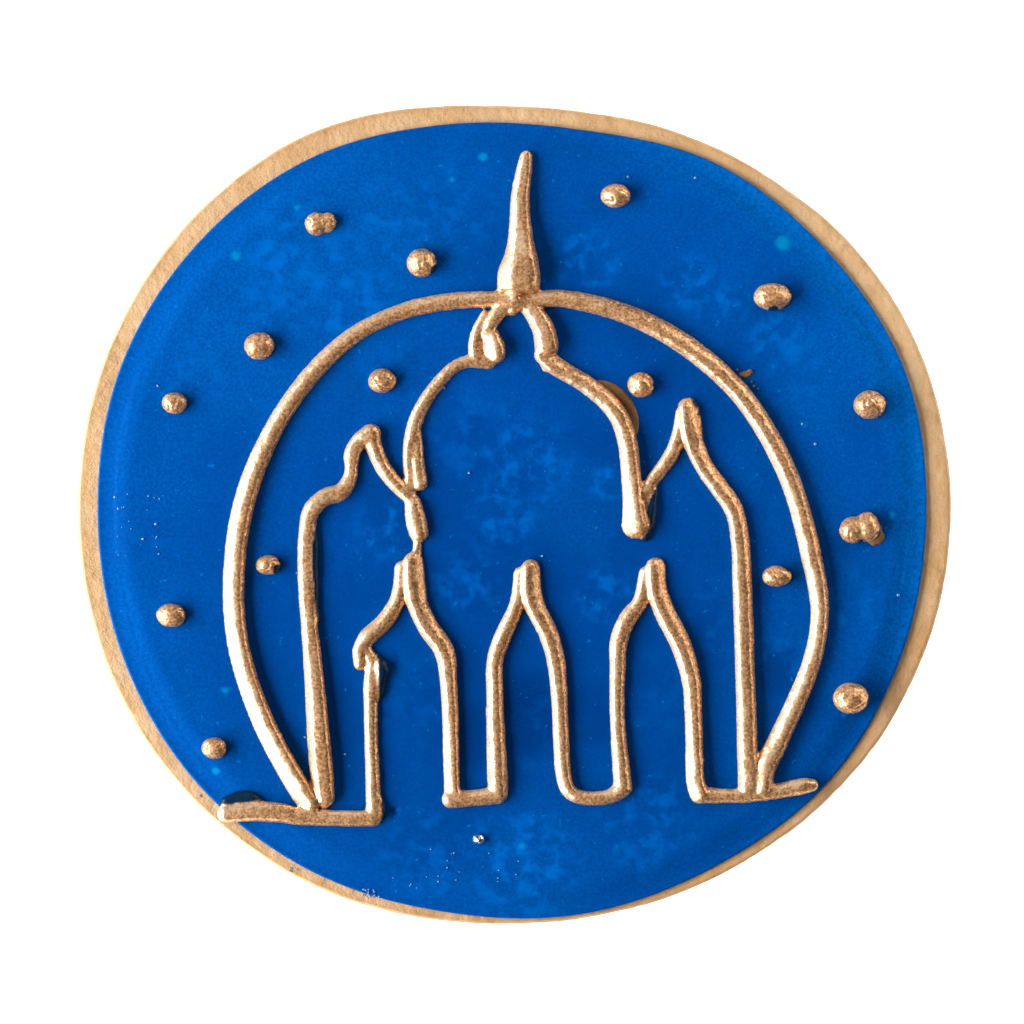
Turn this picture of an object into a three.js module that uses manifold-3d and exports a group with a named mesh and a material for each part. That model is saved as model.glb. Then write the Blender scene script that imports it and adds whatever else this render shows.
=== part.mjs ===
// A round butter cookie under a coat of flooded icing, with a domed building piped on it in icing
// line: an arch with a spire, a small onion dome, two turrets and three pointed arches, and dots
// for stars. Millimetres, +Z up. The cookie stands on z = 0 with its centre on the Z axis, and the
// top of the picture points along +Y.

import * as THREE from 'three';
import { mergeVertices } from 'three/addons/utils/BufferGeometryUtils.js';
import Module from 'manifold-3d';

// ---------------------------------------------------------------- driving dimensions

const COOKIE_THICKNESS = 6.5;
const ICING_THICKNESS = 0.75;
const ICING_TOP = COOKIE_THICKNESS + ICING_THICKNESS;

// Radii of the two uneven outlines, at equal steps counterclockwise from +X.
const COOKIE_RADII = [43.8, 43.7, 42.0, 40.9, 43.4, 43.9, 43.7, 43.4, 42.4, 41.1, 41.7, 43.1];
const ICING_RADII = [
  41.25, 41.65, 40.9, 40.45, 39.0, 39.55, 41.0, 41.65, 42.0,
  41.65, 41.65, 41.6, 41.1, 40.4, 40.6, 40.6, 41.3, 41.25,
];

// Rounded edges. The cookie is widest at BOTTOM_ROUNDING.height, and its top edge rounds off over
// TOP_ROUNDING, or over the bare rim outside the icing where that is narrower. The flooded icing
// has a low round edge, and rises gently to its full thickness at SLOPE_END.
const BOTTOM_ROUNDING = { width: 1.0, height: 2.4 };
const TOP_ROUNDING = 0.4;
const ICING_EDGE = { width: 0.35, height: 0.28 };
const SLOPE_END = 3.4;
const EDGE_POWER = 3;
const EDGE_STEPS = 5;
const OUTLINE_STEPS = 72;

// Piped line: it stands half its own width above the icing, and sits a little way into it.
const RISE_PER_WIDTH = 0.5;
const MAX_RISE = 1.7;
const SUNK = 0.7;
const LINE_STEP = 2.0;
const LINE_SIDES = 8;
const CAP_RINGS = 2;
const DOT_SIDES = 10;
const DOT_RINGS = 6;

// Every line is a smooth route through [x, y, width] from its first to its last point.
const LINES = {
  spire: [[1.2, 35.7, 1.2], [1.0, 34.4, 1.5], [0.65, 32, 1.75], [0.6, 29.9, 1.95], [0.65, 27.4, 2.5],
    [0.65, 25.4, 3.5], [0.5, 24, 4.2], [0.45, 22.5, 4.2]],
  crossing: [[-1.4, 21.3, 1.6], [0, 21.2, 2.0], [1.6, 21.3, 1.6]],
  crossing_knob: [[-0.3, 21.4, 2.2], [-0.3, 20.7, 1.8]],
  arch_left: [[-1.7, 21.5, 1.5], [-6.4, 21.25, 1.65], [-11.4, 20.15, 1.6], [-16.4, 17.6, 1.65],
    [-20.6, 13.5, 1.8], [-23.8, 8.85, 1.85], [-26.6, 2.4, 2.1], [-27.9, -4.6, 2.1], [-27.65, -12.6, 2.1],
    [-25.15, -20.6, 2.15], [-21.5, -27.4, 2.2], [-20.5, -29, 2.0]],
  arch_right: [[1.8, 21.4, 1.6], [4.6, 21.55, 1.7], [10.5, 20.25, 1.9], [16.4, 17.4, 2.05],
    [22.6, 12.05, 2.05], [27.35, 4, 2.0], [29.8, -4.6, 2.0], [30.55, -9.8, 1.8], [29.8, -14.6, 1.8],
    [26.45, -22.5, 2.05], [24.9, -25.6, 2.3], [24.6, -27.1, 2.4]],
  neck_left: [[-1.1, 20.6, 1.4], [-1.9, 19.7, 1.5], [-2.6, 18.7, 1.4], [-2.8, 17.9, 1.2]],
  neck_outside: [[-2.9, 19.9, 0.9], [-3.7, 18.2, 1.1], [-3.9, 16.7, 1.3], [-3.8, 15.6, 1.3]],
  knob: [[-2.3, 17.6, 1.8], [-2.1, 16.7, 2.3], [-2, 16.1, 2.2]],
  neck_right: [[1.2, 20.8, 1.4], [2.3, 19.6, 2.0], [3.05, 18.1, 2.2], [3.25, 16.8, 2.4]],
  dome_left: [[-2.4, 15.1, 1.2], [-4.8, 15.2, 1.2], [-6.2, 14.5, 1.15], [-8.1, 12.4, 1.3],
    [-9.3, 10.5, 1.35], [-10.1, 8.4, 1.4], [-10.55, 5.9, 1.1], [-10.3, 1.8, 1.0]],
  dome_left_inner: [[-9.7, 8.6, 0.7], [-9.7, 6.9, 1.1], [-9.6, 4.9, 1.3], [-9.4, 3.1, 1.5]],
  dome_right: [[2.9, 15.9, 1.7], [4.2, 14.8, 1.9], [5.6, 13.95, 1.75], [7.6, 12.7, 1.8], [9.3, 11.3, 1.9],
    [10.5, 9.7, 1.9], [11.3, 7.4, 1.95], [11.7, 3.9, 1.95], [11.9, 0.9, 2.1], [12.1, -1.1, 2.7]],
  dome_right_tip: [[3, 15.3, 0.9], [3.2, 14.6, 0.8]],
  dome_foot: [[-10.1, 1.1, 1.6], [-9.8, -0.6, 2.0], [-9.5, -1.9, 1.9]],
  dome_link: [[-9.6, -2.6, 0.8], [-9.7, -3.9, 0.9]],
  turret_left: [[-14.3, 8, 2.0], [-15.5, 7.3, 1.5], [-16.2, 5.9, 1.6], [-16.25, 4.6, 1.25],
    [-16.5, 3.4, 1.4], [-17.3, 2.2, 1.7], [-18.9, 1.65, 1.7], [-20.2, 0.4, 1.7], [-20.8, -2.1, 1.45],
    [-20.9, -5.6, 1.4], [-20.1, -15.1, 1.8], [-19.3, -25.1, 2.3], [-19, -28.3, 2.1]],
  turret_left_roof: [[-14.3, 7.8, 1.8], [-13.9, 6.4, 1.6], [-13, 4.5, 1.55], [-11.7, 2.9, 1.5],
    [-10.6, 1.8, 1.3]],
  turret_right: [[17.5, 10.5, 2.2], [17.7, 8.9, 2.2], [18, 7.1, 2.0], [19, 4.8, 1.8], [20.5, 2.7, 1.85],
    [22, 0.4, 1.85], [22.6, -2.6, 1.8], [22.8, -6.6, 1.9], [23.15, -17.6, 1.9], [23.4, -27.2, 2.0]],
  turret_right_roof: [[16.7, 10, 1.1], [16.5, 8.2, 1.3], [15.7, 5.9, 1.4], [13.4, 2.7, 1.3],
    [12.6, 1.1, 1.5], [12.3, -0.4, 1.6]],
  door_1_left: [[-11.2, -5.4, 1.4], [-11.4, -7.4, 1.4], [-11.8, -8.9, 1.5], [-13, -10.8, 1.7],
    [-14.6, -12.3, 1.7], [-15.4, -13.6, 1.4], [-15.4, -15, 1.2]],
  door_1_leg: [[-14.7, -13.7, 1.1], [-14.2, -14.8, 1.2], [-14.3, -17, 1.45], [-14.3, -20.6, 1.3],
    [-14, -30, 1.5]],
  door_1_right: [[-10, -4.8, 2.0], [-9.95, -6.8, 2.2], [-9.65, -8.9, 2.05], [-8.5, -11.4, 2.05],
    [-7, -13.6, 2.0], [-6.55, -16.6, 1.7], [-6.2, -28.2, 1.5]],
  door_2_left: [[0.6, -5.9, 1.2], [0.3, -8.9, 1.4], [-1.1, -12.2, 1.65], [-1.85, -14.4, 1.6],
    [-1.9, -18.6, 1.65], [-1.6, -26.9, 2.0], [-1.5, -27.9, 1.8]],
  door_2_right: [[1.7, -5.5, 1.9], [1.75, -7.6, 2.1], [2.2, -9.4, 2.0], [3.4, -11.8, 1.9],
    [4.2, -14.6, 1.8], [4.55, -18.6, 1.6], [5, -26.4, 1.5], [5.5, -27.7, 1.4], [6.6, -28.3, 1.35],
    [9.4, -28.3, 1.4], [10.5, -27.7, 1.7]],
  door_3_left: [[13.1, -5.9, 1.2], [12.6, -8.8, 1.5], [11.4, -10.4, 1.7], [10.5, -12.6, 1.75],
    [10.35, -15.6, 1.5], [10.35, -20.6, 1.45], [10.9, -27.4, 1.8]],
  door_3_right: [[14.2, -5.3, 1.9], [14.3, -7.4, 2.0], [14.9, -9.4, 2.05], [16.7, -13.1, 2.05],
    [17.7, -16.6, 1.85], [17.95, -20.6, 1.7], [18.15, -26.9, 1.8], [18.5, -28, 1.9]],
  sill: [[-6.3, -28.5, 1.8], [-4.4, -28.4, 1.6], [-1.5, -28.1, 1.7]],
  base_left: [[-28.8, -29.95, 1.7], [-26.4, -29.75, 1.9], [-23.4, -29.85, 1.9], [-21.4, -30.25, 1.6],
    [-14.1, -30.45, 1.5]],
  base_right: [[18.9, -28.1, 1.6], [20.8, -28.15, 1.4], [23.1, -28.15, 1.4], [27.1, -27.55, 1.5],
    [28.9, -27.2, 1.6], [29.8, -27.1, 1.2]],
  // Short beads that lie against the lines above.
  hump_on_base_left: [[-28.7, -28.8, 1.2], [-27.4, -28.4, 1.4], [-26.3, -28.4, 1.3], [-25.6, -28.8, 1.1]],
  bulge_in_door_1: [[-13.8, -14.4, 0.9], [-13.3, -15.4, 1.9], [-13.4, -16.8, 1.3], [-13.6, -18.2, 1.0]],
  flank_of_turret_left: [[-20.2, -1.2, 1.0], [-20.1, -3, 1.2], [-20.1, -6, 1.2], [-20, -9, 1.1],
    [-19.8, -10.6, 0.9]],
  corner_of_base_left: [[-13.6, -28.6, 1.0], [-13.35, -29.8, 1.3], [-13.8, -30.6, 1.1]],
  foot_of_dome_right: [[13.9, 2.2, 1.0], [13.7, 0.6, 1.3], [13.5, -1, 1.3], [13.1, -2.2, 1.1]],
};

// The spire ends in a blunt foot; every other line ends in half a circle.
const BLUNT_FOOT = 0.15;

// Stars as [x, y, width, length]; two of them are pairs of dots run together, and the last is a
// small sugar ball.
const DOTS = [
  [10.2, 31.8, 3.1, 2.5], [-19.7, 29, 2.4, 2.4], [-18.6, 29.1, 1.8, 2.1], [-9.2, 25.1, 3.1, 2.9],
  [25.9, 21.7, 4, 2.8], [-25.4, 16.8, 3.2, 2.8], [-13.1, 13.3, 3, 2.5], [12.7, 12.9, 2.8, 2.6],
  [35.6, 10.9, 3.4, 2.9], [-33.9, 11.1, 2.7, 2.2], [33.9, -1.6, 2.8, 2.7], [35.3, -1.3, 2.7, 3.1],
  [-24.5, -5.1, 2.7, 2], [26.3, -6.2, 3, 2.2], [-34.2, -10.1, 3.1, 2.4], [33.7, -18.4, 3.7, 3.2],
  [-29.9, -23.4, 2.7, 2.2], [-3.5, -32.5, 1.3, 1.1],
];

// ---------------------------------------------------------------- solids

const wasm = await Module();
wasm.setup();

/** Makes a solid of a closed geometry, without the faces that shrink to a line at its poles. */
function solidFrom(geometry) {
  geometry.deleteAttribute('normal');
  geometry.deleteAttribute('uv');
  const merged = mergeVertices(geometry, 1e-4);
  const corners = merged.index.array;
  const triVerts = [];
  for (let i = 0; i < corners.length; i += 3) {
    const face = corners.slice(i, i + 3);
    if (new Set(face).size === 3) triVerts.push(...face);
  }
  return new wasm.Manifold(new wasm.Mesh({
    numProp: 3,
    vertProperties: new Float32Array(merged.attributes.position.array),
    triVerts: new Uint32Array(triVerts),
  }));
}

/** Turns a solid back into a geometry with normals. */
function geometryFrom(solid) {
  const { vertProperties, triVerts } = solid.getMesh();
  const geometry = new THREE.BufferGeometry();
  geometry.setAttribute('position', new THREE.BufferAttribute(vertProperties, 3));
  geometry.setIndex(new THREE.BufferAttribute(triVerts, 1));
  geometry.computeVertexNormals();
  return geometry;
}

/** Moves every point of a geometry by place(x, y, z), which returns the new [x, y, z]. */
function reshape(geometry, place) {
  const points = geometry.attributes.position;
  for (let i = 0; i < points.count; i += 1) {
    points.setXYZ(i, ...place(points.getX(i), points.getY(i), points.getZ(i)));
  }
  return geometry;
}

/** A smooth closed outline through equally spaced radii, as radius(angle). */
function outlineThrough(radii) {
  return (angle) => {
    const count = radii.length;
    const place = (angle / (2 * Math.PI) + 1) * count;
    const before = Math.floor(place);
    const t = place - before;
    const [a, b, c, d] = [-1, 0, 1, 2].map((step) => radii[(before + step + count) % count]);
    return b + 0.5 * t * (c - a + t * (2 * a - 5 * b + 4 * c - d + t * (3 * (b - c) + d - a)));
  };
}

const cookieOutline = outlineThrough(COOKIE_RADII);
const icingOutline = outlineThrough(ICING_RADII);

/** Turns a half section of [inset, height] about Z, with insetScale(angle) to narrow its edge. */
function turned(section, outline, bottom, top, insetScale) {
  const reach = Math.max(...COOKIE_RADII, ...ICING_RADII);
  const profile = [
    new THREE.Vector2(0, bottom),
    ...section.map(([inset, height]) => new THREE.Vector2(reach - inset, height)),
    new THREE.Vector2(0, top),
  ];
  const disc = new THREE.LatheGeometry(profile, OUTLINE_STEPS).rotateX(Math.PI / 2);
  return solidFrom(reshape(disc, (x, y, z) => {
    const distance = Math.hypot(x, y);
    if (distance < 1) return [0, 0, z];
    const angle = Math.atan2(y, x);
    const radius = outline(angle) - (reach - distance) * insetScale(angle, z);
    return [radius * Math.cos(angle), radius * Math.sin(angle), z];
  }));
}

/** Points [inset, rise] on a rounded edge, from its outermost point to its far side. */
function roundedEdge(width, height) {
  return Array.from({ length: EDGE_STEPS + 1 }, (_, step) => {
    const angle = (step / EDGE_STEPS) * Math.PI / 2;
    const power = 2 / EDGE_POWER;
    return [width * (1 - Math.cos(angle) ** power), height * Math.sin(angle) ** power];
  });
}

// ---------------------------------------------------------------- cookie

function makeCookie() {
  const widest = BOTTOM_ROUNDING.height;
  const downward = roundedEdge(BOTTOM_ROUNDING.width, widest);
  const upward = roundedEdge(TOP_ROUNDING, COOKIE_THICKNESS - widest);
  const section = [
    ...downward.reverse().map(([inset, drop]) => [inset, widest - drop]),
    ...upward.slice(1).map(([inset, rise]) => [inset, widest + rise]),
  ];
  const narrowing = (angle, z) => {
    const rim = cookieOutline(angle) - icingOutline(angle);
    return z > widest ? Math.min(1, rim / TOP_ROUNDING) : 1;
  };
  return turned(section, cookieOutline, 0, COOKIE_THICKNESS, narrowing);
}

// ---------------------------------------------------------------- icing

function makeFlood() {
  const section = [
    ...roundedEdge(ICING_EDGE.width, ICING_EDGE.height),
    [SLOPE_END, ICING_THICKNESS],
  ].map(([inset, rise]) => [inset, COOKIE_THICKNESS + rise]);
  return turned(section, icingOutline, COOKIE_THICKNESS, ICING_TOP, () => 1);
}

/** Height of a point of piping or of a dot, z being -1 at its underside and 1 at its top. */
function beadHeight(z, width) {
  const rise = Math.min(RISE_PER_WIDTH * width, MAX_RISE);
  return ICING_TOP + z * (z > 0 ? rise : SUNK);
}

/** Bends a capsule of radius 1 and length 1 along Y onto the route, with its width at each point. */
function makeLine(points, capLength = 1) {
  const route = new THREE.CatmullRomCurve3(points.map((point) => new THREE.Vector3(...point)));
  const steps = Math.ceil(route.getLength() / LINE_STEP);
  const capsule = new THREE.CapsuleGeometry(1, 1, CAP_RINGS, LINE_SIDES, steps);
  return solidFrom(reshape(capsule, (x, y, z) => {
    const along = THREE.MathUtils.clamp(y, -0.5, 0.5);
    const centre = route.getPointAt(along + 0.5);
    const ahead = route.getTangentAt(along + 0.5).setZ(0).normalize();
    const halfWidth = centre.z / 2;
    const past = (y - along) * halfWidth * (y > 0 ? capLength : 1);
    const aside = x * halfWidth;
    return [
      centre.x + past * ahead.x + aside * ahead.y,
      centre.y + past * ahead.y - aside * ahead.x,
      beadHeight(z, centre.z),
    ];
  }));
}

function makeDot([x, y, width, length]) {
  const ball = new THREE.SphereGeometry(1, DOT_SIDES, DOT_RINGS).rotateX(Math.PI / 2);
  return solidFrom(reshape(ball, (ballX, ballY, ballZ) => [
    x + ballX * width / 2,
    y + ballY * length / 2,
    beadHeight(ballZ, (width + length) / 2),
  ]));
}

function makeIcing() {
  const lines = Object.entries(LINES).map(([name, points]) => (
    makeLine(points, name === 'spire' ? BLUNT_FOOT : 1)
  ));
  return [...lines, ...DOTS.map(makeDot)].reduce((whole, bead) => whole.add(bead), makeFlood());
}

// ---------------------------------------------------------------- the object

const cookieMaterial = new THREE.MeshStandardMaterial({ color: '#dfb57e', roughness: 0.9, metalness: 0 });
const icingMaterial = new THREE.MeshStandardMaterial({ color: '#0157b5', roughness: 0.45, metalness: 0 });

function namedMesh(name, solid, material) {
  const mesh = new THREE.Mesh(geometryFrom(solid), material);
  mesh.name = name;
  return mesh;
}

const group = new THREE.Group();
group.add(namedMesh('cookie', makeCookie(), cookieMaterial));
group.add(namedMesh('icing', makeIcing(), icingMaterial));

export default group;
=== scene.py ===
import math
from itertools import product

import bmesh
import bpy
import numpy as np
from mathutils import Matrix, Vector
from mathutils.kdtree import KDTree


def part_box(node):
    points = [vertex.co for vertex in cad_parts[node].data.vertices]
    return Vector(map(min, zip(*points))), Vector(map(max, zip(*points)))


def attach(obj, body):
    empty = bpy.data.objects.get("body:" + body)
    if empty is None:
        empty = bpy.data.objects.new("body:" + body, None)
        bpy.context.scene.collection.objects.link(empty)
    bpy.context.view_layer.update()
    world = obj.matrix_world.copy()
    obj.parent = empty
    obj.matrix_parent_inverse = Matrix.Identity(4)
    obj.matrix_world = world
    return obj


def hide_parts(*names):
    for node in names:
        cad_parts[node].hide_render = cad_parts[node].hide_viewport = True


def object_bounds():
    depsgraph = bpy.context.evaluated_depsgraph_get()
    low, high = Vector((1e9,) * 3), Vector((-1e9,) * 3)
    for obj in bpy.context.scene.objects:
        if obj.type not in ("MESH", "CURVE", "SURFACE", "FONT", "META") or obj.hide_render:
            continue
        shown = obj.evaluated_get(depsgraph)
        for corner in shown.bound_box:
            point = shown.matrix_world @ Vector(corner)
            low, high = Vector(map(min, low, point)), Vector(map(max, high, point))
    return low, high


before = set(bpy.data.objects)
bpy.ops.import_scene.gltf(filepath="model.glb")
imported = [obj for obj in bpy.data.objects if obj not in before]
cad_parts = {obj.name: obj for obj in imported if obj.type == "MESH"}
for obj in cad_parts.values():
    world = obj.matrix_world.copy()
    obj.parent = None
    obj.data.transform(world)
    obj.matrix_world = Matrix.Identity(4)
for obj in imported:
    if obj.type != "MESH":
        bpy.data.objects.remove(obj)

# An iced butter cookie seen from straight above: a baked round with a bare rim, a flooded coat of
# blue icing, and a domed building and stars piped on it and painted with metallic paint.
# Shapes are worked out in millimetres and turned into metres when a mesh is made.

CAD_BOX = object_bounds()
MM = 0.001

# ---------------------------------------------------------------- driving dimensions, in millimetres

COOKIE_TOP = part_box("cookie")[1].z / MM
ICING_THICKNESS = 0.75
ICING_TOP = COOKIE_TOP + ICING_THICKNESS
PIXEL = 0.1                         # what one pixel of the photograph covers
PHOTO_CENTRE = (514, 514)           # the pixel over the object's origin

# Radii of the two uneven outlines, at equal steps counterclockwise from +X.
COOKIE_RADII = [43.8, 43.7, 42.0, 40.9, 43.4, 43.9, 43.7, 43.4, 42.4, 41.1, 41.7, 43.1]
ICING_RADII = [
    41.25, 41.65, 40.9, 40.45, 39.0, 39.55, 41.0, 41.65, 42.0,
    41.65, 41.65, 41.6, 41.1, 40.4, 40.6, 40.6, 41.3, 41.25,
]
BOTTOM_ROUNDING = (1.0, 2.4)        # width and height of the cookie's lower edge
TOP_ROUNDING = 0.4                  # width of its upper edge, where the bare rim has the room
EDGE_POWER = 3                      # 2 would be an ellipse
ICING_EDGE = (0.35, 0.28)           # width and height of the flood's round edge
SLOPE_END = 3.4                     # how far in the flood rises to its full thickness

# Piped line: it stands half its own width above the icing, and sits a little way into it.
RISE_PER_WIDTH = 0.5
MAX_RISE = 1.7
SUNK = 0.7
MELT_LOSS = 0.05                    # what melting the beads into one skin takes off their sides

# Width of the even faces that melting gives.
BEAD_VOXEL = 0.196
DOT_VOXEL = 0.12
BALL_VOXEL = 0.06

# Every line is a smooth route through [x, y, width] from its first to its last point.
LINES = {
    "spire": [[1.2, 35.7, 1.2], [1.0, 34.4, 1.5], [0.65, 32, 1.75], [0.6, 29.9, 1.95],
              [0.65, 27.4, 2.5], [0.65, 25.4, 3.5], [0.5, 24, 4.2], [0.45, 22.5, 4.2]],
    "crossing": [[-1.4, 21.3, 1.6], [0, 21.2, 2.0], [1.6, 21.3, 1.6]],
    "crossing_knob": [[-0.3, 21.4, 2.2], [-0.3, 20.7, 1.8]],
    "arch_left": [[-1.7, 21.5, 1.5], [-6.4, 21.25, 1.65], [-11.4, 20.15, 1.6], [-16.4, 17.6, 1.65],
                  [-20.6, 13.5, 1.8], [-23.8, 8.85, 1.85], [-26.6, 2.4, 2.1], [-27.9, -4.6, 2.1],
                  [-27.65, -12.6, 2.1], [-25.15, -20.6, 2.15], [-21.5, -27.4, 2.2], [-20.5, -29, 2.0]],
    "arch_right": [[1.8, 21.4, 1.6], [4.6, 21.55, 1.7], [10.5, 20.25, 1.9], [16.4, 17.4, 2.05],
                   [22.6, 12.05, 2.05], [27.35, 4, 2.0], [29.8, -4.6, 2.0], [30.55, -9.8, 1.8],
                   [29.8, -14.6, 1.8], [26.45, -22.5, 2.05], [24.9, -25.6, 2.3], [24.6, -27.1, 2.4]],
    "neck_left": [[-1.1, 20.6, 1.4], [-1.9, 19.7, 1.5], [-2.6, 18.7, 1.4], [-2.8, 17.9, 1.2]],
    "neck_outside": [[-2.9, 19.9, 0.9], [-3.7, 18.2, 1.1], [-3.9, 16.7, 1.3], [-3.8, 15.6, 1.3]],
    "knob": [[-2.3, 17.6, 1.8], [-2.1, 16.7, 2.3], [-2, 16.1, 2.2]],
    "neck_right": [[1.2, 20.8, 1.4], [2.3, 19.6, 2.0], [3.05, 18.1, 2.2], [3.25, 16.8, 2.4]],
    "dome_left": [[-2.4, 15.1, 1.2], [-4.8, 15.2, 1.2], [-6.2, 14.5, 1.15], [-8.1, 12.4, 1.3],
                  [-9.3, 10.5, 1.35], [-10.1, 8.4, 1.4], [-10.55, 5.9, 1.1], [-10.3, 1.8, 1.0]],
    "dome_left_inner": [[-9.7, 8.6, 0.7], [-9.7, 6.9, 1.1], [-9.6, 4.9, 1.3], [-9.4, 3.1, 1.5]],
    "dome_right": [[2.9, 15.9, 1.7], [4.2, 14.8, 1.9], [5.6, 13.95, 1.75], [7.6, 12.7, 1.8],
                   [9.3, 11.3, 1.9], [10.5, 9.7, 1.9], [11.3, 7.4, 1.95], [11.7, 3.9, 1.95],
                   [11.9, 0.9, 2.1], [12.1, -1.1, 2.7]],
    "dome_right_tip": [[3, 15.3, 0.9], [3.2, 14.6, 0.8]],
    "dome_foot": [[-10.1, 1.1, 1.6], [-9.8, -0.6, 2.0], [-9.5, -1.9, 1.9]],
    "dome_link": [[-9.6, -2.6, 0.8], [-9.7, -3.9, 0.9]],
    "turret_left": [[-14.3, 8, 2.0], [-15.5, 7.3, 1.5], [-16.2, 5.9, 1.6], [-16.25, 4.6, 1.25],
                    [-16.5, 3.4, 1.4], [-17.3, 2.2, 1.7], [-18.9, 1.65, 1.7], [-20.2, 0.4, 1.7],
                    [-20.8, -2.1, 1.45], [-20.9, -5.6, 1.4], [-20.1, -15.1, 1.8], [-19.3, -25.1, 2.3],
                    [-19, -28.3, 2.1]],
    "turret_left_roof": [[-14.3, 7.8, 1.8], [-13.9, 6.4, 1.6], [-13, 4.5, 1.55], [-11.7, 2.9, 1.5],
                         [-10.6, 1.8, 1.3]],
    "turret_right": [[17.5, 10.5, 2.2], [17.7, 8.9, 2.2], [18, 7.1, 2.0], [19, 4.8, 1.8],
                     [20.5, 2.7, 1.85], [22, 0.4, 1.85], [22.6, -2.6, 1.8], [22.8, -6.6, 1.9],
                     [23.15, -17.6, 1.9], [23.4, -27.2, 2.0]],
    "turret_right_roof": [[16.7, 10, 1.1], [16.5, 8.2, 1.3], [15.7, 5.9, 1.4], [13.4, 2.7, 1.3],
                          [12.6, 1.1, 1.5], [12.3, -0.4, 1.6]],
    "door_1_left": [[-11.2, -5.4, 1.4], [-11.4, -7.4, 1.4], [-11.8, -8.9, 1.5], [-13, -10.8, 1.7],
                    [-14.6, -12.3, 1.7], [-15.4, -13.6, 1.4], [-15.4, -15, 1.2]],
    "door_1_leg": [[-14.7, -13.7, 1.1], [-14.2, -14.8, 1.2], [-14.3, -17, 1.45], [-14.3, -20.6, 1.3],
                   [-14, -30, 1.5]],
    "door_1_right": [[-10, -4.8, 2.0], [-9.95, -6.8, 2.2], [-9.65, -8.9, 2.05], [-8.5, -11.4, 2.05],
                     [-7, -13.6, 2.0], [-6.55, -16.6, 1.7], [-6.2, -28.2, 1.5]],
    "door_2_left": [[0.6, -5.9, 1.2], [0.3, -8.9, 1.4], [-1.1, -12.2, 1.65], [-1.85, -14.4, 1.6],
                    [-1.9, -18.6, 1.65], [-1.6, -26.9, 2.0], [-1.5, -27.9, 1.8]],
    "door_2_right": [[1.7, -5.5, 1.9], [1.75, -7.6, 2.1], [2.2, -9.4, 2.0], [3.4, -11.8, 1.9],
                     [4.2, -14.6, 1.8], [4.55, -18.6, 1.6], [5, -26.4, 1.5], [5.5, -27.7, 1.4],
                     [6.6, -28.3, 1.35], [9.4, -28.3, 1.4], [10.5, -27.7, 1.7]],
    "door_3_left": [[13.1, -5.9, 1.2], [12.6, -8.8, 1.5], [11.4, -10.4, 1.7], [10.5, -12.6, 1.75],
                    [10.35, -15.6, 1.5], [10.35, -20.6, 1.45], [10.9, -27.4, 1.8]],
    "door_3_right": [[14.2, -5.3, 1.9], [14.3, -7.4, 2.0], [14.9, -9.4, 2.05], [16.7, -13.1, 2.05],
                     [17.7, -16.6, 1.85], [17.95, -20.6, 1.7], [18.15, -26.9, 1.8], [18.5, -28, 1.9]],
    "sill": [[-6.3, -28.5, 1.8], [-4.4, -28.4, 1.6], [-1.5, -28.1, 1.7]],
    "base_left": [[-28.8, -29.95, 1.7], [-26.4, -29.75, 1.9], [-23.4, -29.85, 1.9],
                  [-21.4, -30.25, 1.6], [-14.1, -30.45, 1.5]],
    "base_right": [[18.9, -28.1, 1.6], [20.8, -28.15, 1.4], [23.1, -28.15, 1.4], [27.1, -27.55, 1.5],
                   [28.9, -27.2, 1.6], [29.8, -27.1, 1.2]],
}
# Short beads that lie against those lines, and that the paint brush missed.
BARE_LINES = {
    "hump_on_base_left": [[-28.7, -28.8, 1.2], [-27.4, -28.4, 1.4], [-26.3, -28.4, 1.3],
                          [-25.6, -28.8, 1.1]],
    "bulge_in_door_1": [[-13.8, -14.4, 0.9], [-13.3, -15.4, 1.9], [-13.4, -16.8, 1.3],
                        [-13.6, -18.2, 1.0]],
    "flank_of_turret_left": [[-20.2, -1.2, 1.0], [-20.1, -3, 1.2], [-20.1, -6, 1.2], [-20, -9, 1.1],
                             [-19.8, -10.6, 0.9]],
    "corner_of_base_left": [[-13.6, -28.6, 1.0], [-13.35, -29.8, 1.3], [-13.8, -30.6, 1.1]],
    "foot_of_dome_right": [[13.9, 2.2, 1.0], [13.7, 0.6, 1.3], [13.5, -1, 1.3], [13.1, -2.2, 1.1]],
}
# Places on painted beads that it missed as well, as [x, y, radius].
BARE_SPOTS = [
    [18.5, 11.2, 0.7], [18.8, 10.2, 0.5], [25.9, 20.2, 0.6], [-7.9, 24.4, 0.5], [-23.5, -5.6, 0.6],
]
BLUNT_FOOT = 0.15                   # the spire's foot bulges this much; other lines end in half a circle

# How a bead slumped: where its ridge lies, from its middle (0) to its edge (1) on the LEE side, and
# for the side before the ridge and for the one after it, how level its top is (2 is round, more is
# flatter) and how straight it comes down (0.5 is an upright foot, 1 a sharp one).
LEE = (0.9, 0.43)
ROUND = (0, 2, 0.7, 2, 0.7)
FLAT = (0.1, 2.8, 0.8, 3.6, 0.5)
SLOPED = (0.35, 1.5, 1.0, 3.2, 0.5)
TURNED = (-0.45, 3.2, 0.6, 1.5, 1.0)
# The section at a line's start and at its end, of those that aren't round.
SECTIONS = {
    "spire": (FLAT, FLAT), "arch_left": (ROUND, SLOPED), "arch_right": (TURNED, SLOPED),
    "neck_left": (FLAT, ROUND), "neck_right": (FLAT, FLAT), "dome_right": (TURNED, SLOPED),
    "turret_left": (FLAT, FLAT), "turret_right": (TURNED, FLAT), "door_1_right": (TURNED, SLOPED),
    "door_2_right": (TURNED, SLOPED), "door_3_right": (TURNED, SLOPED), "base_left": (FLAT, FLAT),
    "knob": (SLOPED, SLOPED), "crossing_knob": (SLOPED, SLOPED),
}

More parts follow.
